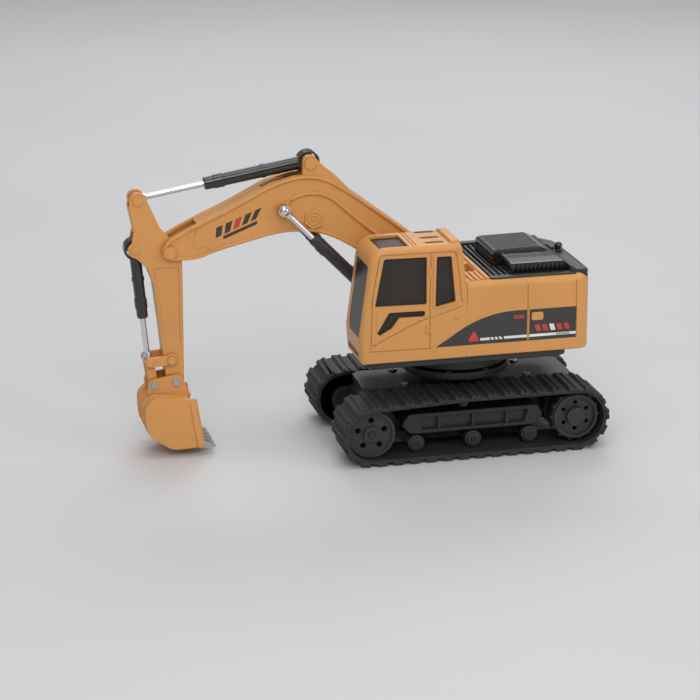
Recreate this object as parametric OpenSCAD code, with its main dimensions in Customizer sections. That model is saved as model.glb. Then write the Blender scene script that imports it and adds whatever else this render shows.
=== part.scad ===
// Toy tracked excavator on rubber-style belts, with a slewing house and a manual arm.
// Row frame: +X forward along the arm, +Y to the cab side, +Z up. Z = 0 is the ground.

/* [Tracks] */
// Distance between the end wheels' axles of a track
wheel_base = 108; // [90:1:130]
// Outer radius of the belt round the rear sprocket, pads included
sprocket_r = 17; // [14:0.5:20]
// Outer radius of the belt round the front idler, pads included
idler_r = 16; // [13:0.5:19]
// Width of one belt
belt_w = 28; // [20:1:36]
// Clear gap between the two belts
belt_gap = 36; // [32:1:44]
// Thickness of a belt's band
band_t = 1.7; // [1.2:0.1:2.4]
// Height of a belt's pads
pad_h = 1.5; // [1:0.1:2.5]
// Number of pads on a belt
pad_count = 36; // [28:1:44]

/* [House] */
// Half width of the house
house_hw = 39; // [34:0.5:44]
// Height of the house's lower edge
house_z = 52.6; // [50:0.2:56]
// Height of the house's top edge
deck_z = 92; // [86:0.5:98]
// Rearmost point of the house, behind the slew axis
house_rear = 61.5; // [54:0.5:66]
// Wall thickness of the moulded shells
wall = 1.6; // [1.2:0.1:2.4]
// Height of the cab's roof
roof_z = 112; // [106:0.2:120]
// Inner side of the cab
cab_y0 = 7.4; // [7:0.2:10]

/* [Arm] */
// Side position of the arm's centre line
arm_y = -8; // [-12:0.5:-6]
// Half width of the boom
boom_hw = 8; // [7:0.5:10]
// Half width of the stick
stick_hw = 5; // [4:0.5:6]
// Width of the bucket
bucket_w = 30; // [24:1:36]
// Radius of the cylinders' polished rods
rod_r = 1.45; // [1:0.05:1.8]
// Outer radius of the boom cylinders' barrels
barrel_r = 2.95; // [2.4:0.05:3]
// Outer radius of the stick cylinder's barrel
stick_barrel_r = 3.3; // [2.6:0.1:3.6]
// Radial running clearance of pins, wheels and rods
fit = 0.08; // [0.02:0.01:0.1]

/* [Hidden] */
$fn = 48;
// pivots in X, Z, measured from the slew axis
F = [6, 80];
G = [33, 66];
E = [90.5, 125.6];
P = [75.6, 147.8];
S = [148.2, 106.4];
T = [163.2, 133.4];
B = [146.5, 38];
R = [148.5, 50];
K = [159.8, 49];
Q = [157.8, 37];
C = [165, 108];
eye_r = 5.6;
x_mid = 50;
wb = wheel_base / 2;
WS = [-wb + 0.5, sprocket_r];
WI = [wb + 0.5, idler_r];
WC = [5, 2 * sprocket_r - 5];
belt_y0 = belt_gap / 2;
belt_y1 = belt_gap / 2 + belt_w;
belt_in = pad_h + band_t;
roller_r = 4.3;
roller_z = belt_in + 0.35 + roller_r;
roller_x = [-30, 0, 30];
carrier_r = 2.6;
carrier_z = 2 * sprocket_r - belt_in - 0.35 - carrier_r;
rod_bore = rod_r + fit;

c_yellow = [0.90, 0.56, 0.20];
c_dark = [0.16, 0.15, 0.15];
c_black = [0.08, 0.08, 0.08];
c_glass = [0.12, 0.11, 0.11];
c_chrome = [0.85, 0.85, 0.86];
c_steel = [0.62, 0.62, 0.64];
c_grey = [0.35, 0.35, 0.36];
c_green = [0.10, 0.35, 0.18];
c_blue = [0.12, 0.28, 0.60];

// ---------- helpers ----------
function unit(v) = v / norm(v);
function dirv(a) = [cos(a), sin(a)];
function ang(v) = atan2(v[1], v[0]);
// polygon from points [x, y, corner radius], listed anticlockwise
function corner(a, b, c, r, n) = let (u = unit(a - b), v = unit(c - b), w = acos(u * v))
  let (o = b + unit(u + v) * (r / sin(w / 2)), t = r / tan(w / 2))
  let (a1 = ang(b + u * t - o), a2 = ang(b + v * t - o), d = (a2 - a1 + 900) % 360 - 180)
  [for (i = [0:n]) o + r * dirv(a1 + d * i / n)];
function xy(p) = [p[0], p[1]];
function round_poly(q, n = 6) = let (m = len(q))
  [for (i = [0:m - 1]) each (q[i][2] > 0
    ? corner(xy(q[(i + m - 1) % m]), xy(q[i]), xy(q[(i + 1) % m]), q[i][2], n) : [xy(q[i])])];
// the same outline moved inward by d
function inset(p, d) = let (m = len(p)) [for (i = [0:m - 1])
  let (u = unit(p[i] - p[(i + m - 1) % m]), v = unit(p[(i + 1) % m] - p[i]))
  let (a = [-u[1], u[0]], b = [-v[1], v[0]], w = unit(a + b)) p[i] + w * (d / max(0.35, w * a))];
// smooth open curve through points
function spline(p, n = 4) = let (m = len(p)) [for (i = [0:m - 2]) for (j = [0:n - 1])
  let (a = p[max(0, i - 1)], b = p[i], c = p[i + 1], e = p[min(m - 1, i + 2)], t = j / n)
  0.5 * (2 * b + (c - a) * t + (2 * a - 5 * b + 4 * c - e) * t * t
    + (3 * b - a - 3 * c + e) * t * t * t)];
// upper or outer tangent points of two circles [x, z, r], travelling anticlockwise
function tangent(a, b) = let (d = xy(b) - xy(a), l = norm(d), g = ang(d),
  n = dirv(g - acos((a[2] - b[2]) / l))) [xy(a) + a[2] * n, xy(b) + b[2] * n];

// outline of a band along an open curve, its half width running from a to b
function across(p, i) = let (u = unit(p[min(len(p) - 1, i + 1)] - p[max(0, i - 1)])) [-u[1], u[0]];
function band(p, a, b) = let (m = len(p) - 1)
  concat([for (i = [0:m]) p[i] - across(p, i) * (a + (b - a) * i / m)],
    [for (i = [m:-1:0]) p[i] + across(p, i) * (a + (b - a) * i / m)]);
// what is cut away when a corner at the origin is rounded to radius r
module waste(r, e = 0.03) polygon(concat([for (k = [0:6]) [e - r, e - r] + r * dirv(k * 15)],
  [[e - r, 4], [4, 4], [4, e - r]]));

module row() translate([-x_mid, 0, 0]) children();
module xz(y0, y1) translate([0, y1, 0]) rotate([90, 0, 0]) linear_extrude(y1 - y0) children();
module yz(x0, x1) translate([x0, 0, 0]) rotate([90, 0, 90]) linear_extrude(x1 - x0) children();
module up(z0, z1) translate([0, 0, z0]) linear_extrude(z1 - z0) children();
module ycyl(p, r, y0, y1) translate([p[0], y1, p[1]]) rotate([90, 0, 0]) cylinder(r = r, h = y1 - y0);
module box(a, b) translate(a) cube(b - a);
module side(s) { if (s > 0) children(); else mirror([0, 1, 0]) children(); }
module aim(p, q) translate([p[0], 0, p[1]]) rotate([0, -ang(q - p), 0]) children();
module xcyl(r, x0, x1) translate([x0, 0, 0]) rotate([0, 90, 0]) cylinder(r = r, h = x1 - x0);
module stadium(a, b, r) {
  t = r * dirv(ang(b - a) + 90);
  translate(a) circle(r);
  translate(b) circle(r);
  polygon([a + t, a - t, b - t, b + t]);
}
// convex loop round a list of circles, listed anticlockwise
module loop(c) {
  m = len(c);
  for (k = c) translate(xy(k)) circle(k[2]);
  for (i = [0:m - 1]) let (t = tangent(c[i], c[(i + 1) % m]))
    polygon([xy(c[i]), t[0], t[1], xy(c[(i + 1) % m])]);
  polygon([for (k = c) xy(k)]);
}

// ---------- tracks ----------
function belt_c(d) = [[WI[0], WI[1], idler_r - d], [WC[0], WC[1], 5 - d], [WS[0], WS[1], sprocket_r - d]];
// a point and heading on the belt's outer line, s measured from the idler's lowest point
ti = tangent(belt_c(pad_h)[0], belt_c(pad_h)[1]);
tc = tangent(belt_c(pad_h)[1], belt_c(pad_h)[2]);
tb = tangent(belt_c(pad_h)[2], belt_c(pad_h)[0]);
ri = idler_r - pad_h;
rs = sprocket_r - pad_h;
a_i1 = ang(ti[0] - WI);
a_i0 = ang(tb[1] - WI);
a_s0 = ang(tc[1] - WS);
a_s1 = ang(tb[0] - WS);
l1 = ri * ((a_i1 - a_i0 + 720) % 360) * PI / 180;
l2 = norm(ti[1] - ti[0]);
l3 = norm(tc[0] - ti[1]) + norm(tc[1] - tc[0]);
l4 = rs * ((a_s1 - a_s0 + 720) % 360) * PI / 180;
l5 = norm(tb[1] - tb[0]);
belt_len = l1 + l2 + l3 + l4 + l5;
function on_belt(s) =
  s < l1 ? let (a = a_i0 + s / ri * 180 / PI) [WI + ri * dirv(a), a] :
  s < l1 + l2 ? [ti[0] + (ti[1] - ti[0]) * ((s - l1) / l2), a_i1] :
  s < l1 + l2 + l3 ? [ti[1] + (tc[1] - ti[1]) * ((s - l1 - l2) / l3), 90] :
  s < l1 + l2 + l3 + l4 ? let (a = a_s0 + (s - l1 - l2 - l3) / rs * 180 / PI)
    [WS + rs * dirv(a), a] :
  [tb[0] + (tb[1] - tb[0]) * ((s - l1 - l2 - l3 - l4) / l5), a_s1];

module track(s) color(c_black) row() side(s) {
  difference() {
    xz(belt_y0 + 0.8, belt_y1 - 0.8) loop(belt_c(pad_h));
    xz(belt_y0, belt_y1) loop(belt_c(belt_in));
  }
  for (i = [0:pad_count - 1]) let (q = on_belt((i + 0.5) * belt_len / pad_count))
    translate([q[0][0], 0, q[0][1]]) rotate([0, -q[1], 0]) {
      box([-0.5, belt_y0, -2.7], [0.9, belt_y1, 2.7]);
      box([0.5, belt_y0 + 1.2, -2.2], [pad_h, belt_y1 - 1.2, -0.6]);
      box([0.5, belt_y0 + 1.2, 0.9], [pad_h, belt_y1 - 1.2, 2.1]);
    }
}
module track_left() track(1);
module track_right() track(-1);

module side_frame(s) color(c_black) row() side(s) {
  difference() {
    union() {
      xz(16, 19) loop([[WI[0], WI[1], 7], [WC[0], carrier_z - 1, 3.6], [WS[0], WS[1], 7]]);
      for (x = roller_x) xz(16, 19) stadium([x, 16], [x, roller_z], 3.2);
      xz(19, 37) polygon(round_poly([[-33, 13.2, 2], [33, 13.2, 2], [38, 18, 2], [34, 23.6, 2],
        [-34, 23.6, 2], [-37, 18, 2]], 4));
    }
    ycyl(WS, 2 + fit, 15, 20);
    xz(34.5, 38) polygon([[-27, 15], [27, 15], [29, 21.6], [-29, 21.6]]);
  }
  for (x = [-18, 0, 18]) box([x - 0.8, 34.3, 14.8], [x + 0.8, 36.4, 21.8]);
  ycyl(WI, 2, 18.8, 42);
  for (x = roller_x) ycyl([x, roller_z], 1.2, 18.8, 38);
  ycyl([WC[0], carrier_z], 1.1, 18.8, 38);
}
module side_frame_left() side_frame(1);
module side_frame_right() side_frame(-1);

module sprocket(s) color(c_dark) row() side(s) {
  r = sprocket_r - belt_in - 0.5;
  difference() {
    union() {
      ycyl(WS, r - 1.6, 22.4, 41.6);
      ycyl(WS, 5, 41, 42.4);
      for (y = [[24, 27], [37, 40]]) xz(y[0], y[1]) translate(WS) {
        circle(r - 1);
        for (i = [0:13]) rotate(i * 360 / 14) polygon([[r - 2, -1.3], [r, -0.6], [r, 0.6], [r - 2, 1.3]]);
      }
    }
    for (y = [[21, 24.5], [39.6, 43]]) xz(y[0], y[1]) translate(WS) difference() {
      circle(r - 3.2);
      circle(5);
    }
    for (i = [0:5]) ycyl(WS + 7 * dirv(i * 60 + 30), 1.1, 20, 44);
  }
  ycyl(WS, 2, 11, 23);
  ycyl(WS, 4, 19.4, 22.5);
}
module sprocket_left() sprocket(1);
module sprocket_right() sprocket(-1);

module idler(s) color(c_dark) row() side(s) {
  r = idler_r - belt_in - 0.5;
  difference() {
    union() {
      ycyl(WI, r, 23, 28);
      ycyl(WI, r, 36, 41);
      ycyl(WI, r - 2.6, 22.4, 41.6);
    }
    for (y = [[21, 24.2], [39.8, 43]]) xz(y[0], y[1]) translate(WI) difference() {
      circle(r - 1.6);
      circle(4.2);
    }
    for (i = [0:4]) ycyl(WI + 7.2 * dirv(i * 72 + 90), 1.5, 20, 44);
    ycyl(WI, 2 + fit, 20, 44);
  }
}
module idler_left() idler(1);
module idler_right() idler(-1);

module roller(s, x) color(c_dark) row() side(s) difference() {
  union() {
    ycyl([x, roller_z], roller_r - 1.2, 19.6, 37.6);
    ycyl([x, roller_z], roller_r, 20.6, 25);
    ycyl([x, roller_z], roller_r, 32.2, 36.6);
  }
  ycyl([x, roller_z], 1.2 + fit, 19, 39);
}
module top_roller(s) color(c_dark) row() side(s) difference() {
  union() {
    ycyl([WC[0], carrier_z], carrier_r - 0.6, 19.6, 37.4);
    ycyl([WC[0], carrier_z], carrier_r, 21, 25);
    ycyl([WC[0], carrier_z], carrier_r, 32, 36);
  }
  ycyl([WC[0], carrier_z], 1.1 + fit, 19, 39);
}
module roller_left_front() roller(1, roller_x[2]);
module roller_left_middle() roller(1, roller_x[1]);
module roller_left_rear() roller(1, roller_x[0]);
module roller_left_top() top_roller(1);
module roller_right_front() roller(-1, roller_x[2]);
module roller_right_middle() roller(-1, roller_x[1]);
module roller_right_rear() roller(-1, roller_x[0]);
module roller_right_top() top_roller(-1);

// ---------- lower body ----------
module chassis_base() color(c_black) row() difference() {
  union() {
    box([-60, -16, 9], [48, 16, 28]);
    xz(-16, 16) polygon([[48, 12], [52, 15], [52, 24], [48, 28]]);
    for (x = [-36, 30]) for (s = [-1, 1]) translate([x, s * 12, 27]) cylinder(r = 3, h = 3.5);
  }
  box([-58.2, -14, 10.8], [46.2, 14, 30]);
  box([-36, -11, 8], [20, 11, 12]);
  box([29, -3.2, 8], [39, 3.2, 12]);
  ycyl(WS, 2 + fit, -17, 17);
  for (x = [-36, 30]) for (s = [-1, 1]) translate([x, s * 12, 26]) cylinder(r = 1.1, h = 8);
}
module turntable_seat() color(c_black) row() {
  difference() {
    union() {
      up(28, 31.6) polygon(round_poly([[-60, -16, 2], [48, -16, 2], [52, -12, 1], [52, 12, 1],
        [48, 16, 2], [-60, 16, 2]], 3));
      translate([0, 0, 31.4]) cylinder(r = 17.2, h = 3.4);
      translate([0, 0, 34.7]) cylinder(r1 = 17.2, r2 = 27, h = 2.2);
      translate([0, 0, 36.8]) cylinder(r = 28, h = 3.7);
      for (i = [0:7]) rotate(i * 45 + 22.5) translate([25.2, 0, 40.3]) cylinder(r = 1.6, h = 0.8);
    }
    translate([0, 0, 27]) cylinder(r = 15.4, h = 10.6);
    for (x = [-36, 30]) for (s = [-1, 1]) translate([x, s * 12, 27]) cylinder(r = 3.05, h = 3.6);
    for (x = [-36, 30]) for (s = [-1, 1]) translate([x, s * 12, 28]) cylinder(r = 1.3, h = 8);
  }
  difference() {
    translate([0, 0, 40.3]) cylinder(r = 18, h = 7);
    translate([0, 0, 39]) cylinder(r = 15.5, h = 12);
  }
  difference() {
    translate([0, 0, 38]) cylinder(r = 5.5, h = 14.2);
    translate([0, 0, 37]) cylinder(r = 3, h = 19);
  }
}
module battery_pack() color(c_blue) row() for (y = [-5.3, 5.3])
  translate([-28.6, y, 17]) { xcyl(5.2, 0, 44); xcyl(1.6, 43.8, 45.2); }
module battery_door() color(c_black) row() {
  box([-35.7, -10.7, 9.2], [19.7, 10.7, 10.6]);
  for (i = [0:6]) box([-20 + i * 4, -8, 8.6], [-18.6 + i * 4, 8, 9.4]);
  translate([-32.5, 0, 8.6]) cylinder(r = 2.4, h = 1);
}
module base_screws() color(c_steel) row() {
  for (x = [-36, 30]) for (s = [-1, 1]) translate([x, s * 12, 0]) {
    translate([0, 0, 26.4]) cylinder(r = 1.1, h = 5.4);
    difference() {
      translate([0, 0, 31.6]) cylinder(r = 2.1, h = 1.3);
      for (a = [0, 90]) rotate(a) box([-1.3, -0.3, 32.3], [1.3, 0.3, 33]);
    }
  }
  difference() {
    translate([-32.5, 0, 7.8]) cylinder(r = 1.8, h = 0.8);
    for (a = [0, 90]) translate([-32.5, 0, 0]) rotate(a) box([-1.2, -0.3, 7], [1.2, 0.3, 8.2]);
  }
}
module drive_motor(s) color(c_steel) row() side(s) {
  translate([-52.5, 8, 16.8]) intersection() {
    xcyl(5.6, 7.5, 23);
    box([0, -6, -4.8], [24, 6, 4.8]);
  }
  box([-57.6, 7.4, 11], [-45.2, 10.2, 23.4]);
}
module drive_motor_left() drive_motor(1);
module drive_motor_right() drive_motor(-1);
module power_switch() color(c_grey) row() {
  box([31.2, -2.8, 9.2], [34.8, 2.8, 11.6]);
  for (i = [0:2]) box([31.7 + i, -2.4, 8], [32.3 + i, 2.4, 9.4]);
}

// ---------- house ----------
house_side = [[4.5, house_z, 0], [4.5, deck_z - 0.3, 0], [-house_rear, deck_z, 7.5],
  [-house_rear, house_z, 2.2]];
function rev(p) = [for (i = [len(p) - 1:-1:0]) p[i]];
house_prof = rev(round_poly(house_side, 8));
house_plan = round_poly([[-house_rear, -house_hw, 8.5], [60, -house_hw, 0], [60, house_hw, 0],
  [-house_rear, house_hw, 8.5]], 8);
house_front = round_poly([[-house_hw, house_z, 0.8], [house_hw, house_z, 0.8],
  [house_hw, deck_z, 4], [-house_hw, deck_z, 4]], 6);
box_prof = [[3.9, house_z], [43, house_z], [44.5, house_z + 3], [44.5, 71], [35, 82], [3.9, 82]];
module house_solid(d) intersection() {
  xz(-house_hw, house_hw) polygon(d > 0 ? inset(rev(house_prof), d) : rev(house_prof));
  up(house_z - 5, deck_z + 5) polygon(d > 0 ? inset(house_plan, d) : house_plan);
  yz(-house_rear - 5, 62) polygon(d > 0 ? inset(house_front, d) : house_front);
}
module seam(p, q, y, w = 0.5, d = 0.35) xz(y - d, y + 1) stadium(p, q, w / 2);
module house_shell() color(c_yellow) row() {
  difference() {
    union() {
      difference() {
        house_solid(0);
        translate([wall + 0.2, 0, -wall - 0.2]) house_solid(wall + 0.01);
        box([-50, -34.5, house_z - 2], [10, 34.5, 80]);
      }
      // pocket, ridge and ribs on the ledge behind the cab
      box([-6.6, 2.9, deck_z - 6.4], [4.5, 20.7, deck_z - 2]);
      xz(-35.6, 35.6) polygon(round_poly([[-8.2, deck_z - 1, 0], [-5.8, deck_z - 1, 0],
        [-5.8, deck_z + 0.9, 0.8], [-8.2, deck_z + 0.9, 0.8]], 4));
      for (x = [-4.3, -1.4, 1.3]) up(deck_z - 1, deck_z + 0.6) stadium([x, 21.6], [x, 35.6], 0.75);
    }
    box([-52, -34.5, 80], [-8.3, 34.5, 100]);
    box([-5.4, 4.2, deck_z - 5.2], [6, 19.5, deck_z + 3]);
    box([-4, -16.6, 60], [10, 0.6, 110]);
    for (x = [-27.6, -53.2]) seam([x, house_z + 6.4], [x + 0.4, deck_z - 3], house_hw);
    for (x = [-27.6, -53.2]) mirror([0, 1, 0]) seam([x, house_z + 6.4], [x, deck_z - 3], house_hw);
    box([-29, house_hw - 0.6, house_z + 6.4], [-26.6, house_hw + 1, house_z + 7]);
  }
  // handle plate and its recess rim
  xz(house_hw - 0.2, house_hw + 0.5) polygon(round_poly([[-35.5, 69.6, 1], [-29.3, 69.6, 1],
    [-29.3, 73.8, 1], [-35.5, 73.8, 1]], 3));
  // right front box beside the boom
  difference() {
    intersection() {
      xz(-house_hw, -24.5) polygon(round_poly([for (p = box_prof) [p[0], p[1], p[0] > 30 ? 2.5 : 0]], 5));
      yz(0, 60) polygon(round_poly([[-house_hw, house_z, 0.8], [-24.5, house_z, 0.8],
        [-24.5, 82, 2], [-house_hw, 82, 3]], 5));
    }
    xz(-house_hw + wall, -24.5 - wall) polygon(inset(box_prof, wall));
    box([5.6, -house_hw + wall, house_z - 1], [41.3, -24.5 - wall, house_z + 4]);
    for (i = [0:4]) box([12 + i * 5, -house_hw - 1, 60], [13.6 + i * 5, -house_hw + 0.5, 75]);
  }
}
module house_pan() color(c_dark) row() difference() {
  union() {
    up(49, house_z) polygon(round_poly([[-50, -35, 6], [41.5, -35, 3], [47, -24, 3], [55, 7, 2], [55, 32, 2],
      [50, 36.4, 2], [-50, 36.4, 6]], 5));
    translate([0, 0, 42]) cylinder(r = 27.5, h = 7.2);
  }
  translate([0, 0, 41]) cylinder(r = 18 + fit, h = 7.5);
  translate([0, 0, 48]) cylinder(r = 5.5 + fit, h = 6);
}
// the same thing on both sides
module mirror_y() { children(); mirror([0, 1, 0]) children(); }
module engine_deck() color(c_dark) row() {
  box([-51.8, -34.3, deck_z - 3], [-8.5, 34.3, deck_z - 1.4]);
  box([-11.7, -33, deck_z - 1.6], [-10.4, 33, deck_z - 0.4]);
  for (x = [-14, -17, -20]) for (y = [[-33, -23], [11, 33]])
    box([x - 0.65, y[0], deck_z - 1.6], [x + 0.65, y[1], deck_z - 0.4]);
  for (y = [-33.6, 31.4]) box([-50, y, deck_z - 1.6], [-22, y + 2.2, deck_z - 0.7]);
  // lips over the house's upper edges
  mirror_y() {
    box([-51.8, 32.4, deck_z - 1.6], [-8.6, 34.2, deck_z + 0.1]);
    box([-53.6, 32.4, deck_z + 0.03], [-8.6, 36.7, deck_z + 0.6]);
  }
  // cover over the house's rear edge, with the latch
  intersection() {
    xz(-30, 34.2) polygon(concat([[-51.1, deck_z - 1.6], [-51.8, deck_z - 1.6], [-51.8, deck_z + 0.1]],
      [for (a = [90:15:165]) [7.5 - house_rear, deck_z - 7.5] + 7.7 * dirv(a)],
      [[-house_rear - 0.9, deck_z - 5.6], [-house_rear - 0.9, deck_z - 0.8], [-house_rear + 0.3, deck_z + 0.8],
      [-house_rear + 2.4, deck_z + 1.5], [-54.2, deck_z + 1.5], [-52.2, deck_z + 3.2], [-51.1, deck_z + 3.4]]));
    up(deck_z - 10, deck_z + 10) polygon(round_poly([[-50, -30, 0], [-54.5, -29.6, 3], [-60.2, -22, 5],
      [-62.3, -4, 6], [-62.3, 14, 8], [-60.8, 34.2, 2], [-50, 34.2, 0]], 5));
  }
  box([-53.4, -7, deck_z + 1], [-51.2, 1, deck_z + 4.6]);
}
module engine_hood() color(c_black) row() {
  difference() {
    union() {
      intersection() {
        xz(-28, 30) polygon(round_poly([[-50.7, deck_z - 1.4, 0], [-21, deck_z - 1.4, 0],
          [-21, deck_z + 5.8, 1.5], [-49.6, deck_z + 5.8, 3]], 5));
        yz(-52, -20) polygon(round_poly([[-28, deck_z - 2, 0], [30, deck_z - 2, 0],
          [30, deck_z + 5.2, 1.5], [12, deck_z + 6.4, 6], [-20, deck_z + 6.4, 5]], 5));
      }
      intersection() {
        xz(-22, 10) polygon(round_poly([[-50.4, deck_z - 1.4, 0], [-17.2, deck_z - 1.4, 0],
          [-17.2, deck_z + 7.4, 2.4], [-42.6, deck_z + 8, 3], [-50.4, deck_z + 4, 2]], 5));
        yz(-52, -12) polygon(round_poly([[-22, deck_z - 2, 0], [10, deck_z - 2, 0],
          [10, deck_z + 7, 2], [3, deck_z + 9.4, 5], [-18, deck_z + 9.4, 5], [-22, deck_z + 6, 2]], 5));
      }
    }
    for (i = [0:11]) box([-49.4 + i * 2.3, 28.8, deck_z - 0.2], [-48 + i * 2.3, 31.4, deck_z + 4.6]);
    box([-46, -25, deck_z - 3], [-23, 25, deck_z + 3]);
  }
}
module exhaust() color(c_black) row() translate([-56.5, -2.4, 0]) {
  translate([0, 0, deck_z + 1.52]) cylinder(r = 2.2, h = 0.6);
  translate([0, 0, deck_z + 1.8]) cylinder(r = 1.85, h = 2.8);
  intersection() {
    translate([0, 0, deck_z + 4.2]) sphere(r = 2.1);
    box([-4, -4, deck_z + 3.6], [4, 4, deck_z + 8]);
  }
}
module arm_bracket() color(c_yellow) row() {
  // two cheeks that hold the boom's foot, and a block for the cylinders' lower pins
  for (y = [[0.4, 2.4], [-18.4, -16.4]]) xz(y[0], y[1]) difference() {
    union() {
      translate(F) circle(7.5);
      polygon([[-7, house_z + 1.2], [19, house_z + 1.2], [13.4, 81], [-1.4, 81]]);
    }
    translate(F) circle(2.5 + 0.001);
  }
  ycyl(F, 2.5, -18.4, 2.4);
  ycyl(F, 4, 2.4, 3.4);
  ycyl(F, 4, -19.4, -18.4);
  difference() {
    xz(-15, -1) union() {
      translate(G) circle(4.4);
      polygon([[25, house_z + 1.2], [45, house_z + 1.2], [37.4, 66], [28.6, 66]]);
    }
    for (y = [-11.6, -6]) box([26, y, 60], [40, y + 1.4, 72]);
  }
  ycyl(G, 1.5, -22.6, 6.6);
  ycyl(G, 2.6, -23.2, -22.2);
  box([-7, -18.4, house_z + 0.02], [45, 2.4, house_z + 1.4]);
}
module slew_motor() color(c_steel) row() translate([-26, 14, 0]) {
  translate([0, 0, house_z + 1]) cylinder(r = 7.6, h = 17);
  translate([0, 0, house_z + 18]) cylinder(r = 1, h = 3);
  box([-9, -6, house_z], [9, 6, house_z + 1.6]);
}
module main_board() color(c_green) row() {
  box([-46, -28, house_z + 3], [-14, -2, house_z + 4.6]);
  box([-40, -22, house_z + 4.6], [-31, -13, house_z + 6.6]);
  for (y = [-24, -18, -12]) box([-24, y, house_z + 4.6], [-19, y + 3.4, house_z + 9]);
  translate([-28, -8, house_z + 4.6]) cylinder(r = 2.2, h = 6);
  for (p = [[-44, -26], [-16, -4]]) translate([p[0], p[1], house_z]) cylinder(r = 1.8, h = 3);
}
module house_screws() color(c_steel) row() for (p = [[-44, -27], [-44, 27], [42, 28], [38, -28]])
  translate([p[0], p[1], 0]) difference() {
    translate([0, 0, 48]) cylinder(r = 1.9, h = 1);
    for (a = [0, 90]) rotate(a) box([-1.3, -0.3, 47], [1.3, 0.3, 48.4]);
  }

// ---------- cab ----------
cab_r = 3;
nose_r = 9;
cab_a = [59, house_z];
cab_b = [60.2, 66.6];
cab_c = [53.9, roof_z];
cab_prof = round_poly([[4.6, house_z, 0], [cab_a[0], cab_a[1], 0.8], [cab_b[0], cab_b[1], 3],
  [cab_c[0], cab_c[1], nose_r], [7.8, roof_z, 2], [4.6, 88, 3]], 8);
cab_front = round_poly([[cab_y0, house_z, 0.6], [house_hw, house_z, 0.6], [house_hw, roof_z, 0],
  [cab_y0, roof_z, 0]], 6);
module cab_solid(d) intersection() {
  xz(cab_y0, house_hw) polygon(d > 0 ? inset(cab_prof, d) : cab_prof);
  yz(0, 66) polygon(d > 0 ? inset(cab_front, d) : cab_front);
}
// rounds the long edges of the cab: up the front, over its curved brow and back along the roof
edge_line = concat([cab_a - [0, 4], cab_b], corner(cab_b, cab_c, [7.8, roof_z], nose_r, 8), [[-2, roof_z]]);
// every second stretch of the edge from the k-th on, so that stretches which meet are cut in turn
module edge_cuts(k) for (i = [k:2:len(edge_line) - 2]) let (p = edge_line[i], q = edge_line[i + 1])
  translate([p[0], house_hw, p[1]]) rotate([0, 90 - ang(q - p), 0])
    translate([0, 0, -0.35]) linear_extrude(norm(q - p) + 0.7) waste(cab_r);
door_win = round_poly([[25.6, 81.8, 0.8], [52.3, 82.2, 0.8], [47.6, 106.6, 1.2], [25.6, 106.3, 0.8]], 3);
rear_win = round_poly([[21.2, 80, 0.8], [20.6, 106.2, 0.8], [13, 106.1, 0.8], [10.6, 82.2, 1]], 3);
low_win = round_poly([[26.4, 75.6, 1.2], [39.6, 75.7, 0.6], [43.6, 70.4, 0.8], [50.2, 66.8, 1.2],
  [51, 68.6, 1], [45, 78.8, 1], [26.4, 78.6, 1.2]], 3);
roof_slot_y = [11.4, 22.4, 32];
crease = spline([[54.9, 60.8], [47.1, 64.9], [39.4, 68.5], [31.7, 72.1], [23.9, 74.8], [13.5, 77.6],
  [5.8, 80.2]], 3);
module groove(p, y, w = 0.45, d = 0.35) for (i = [0:len(p) - 2]) seam(p[i], p[i + 1], y, w, d);
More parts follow.
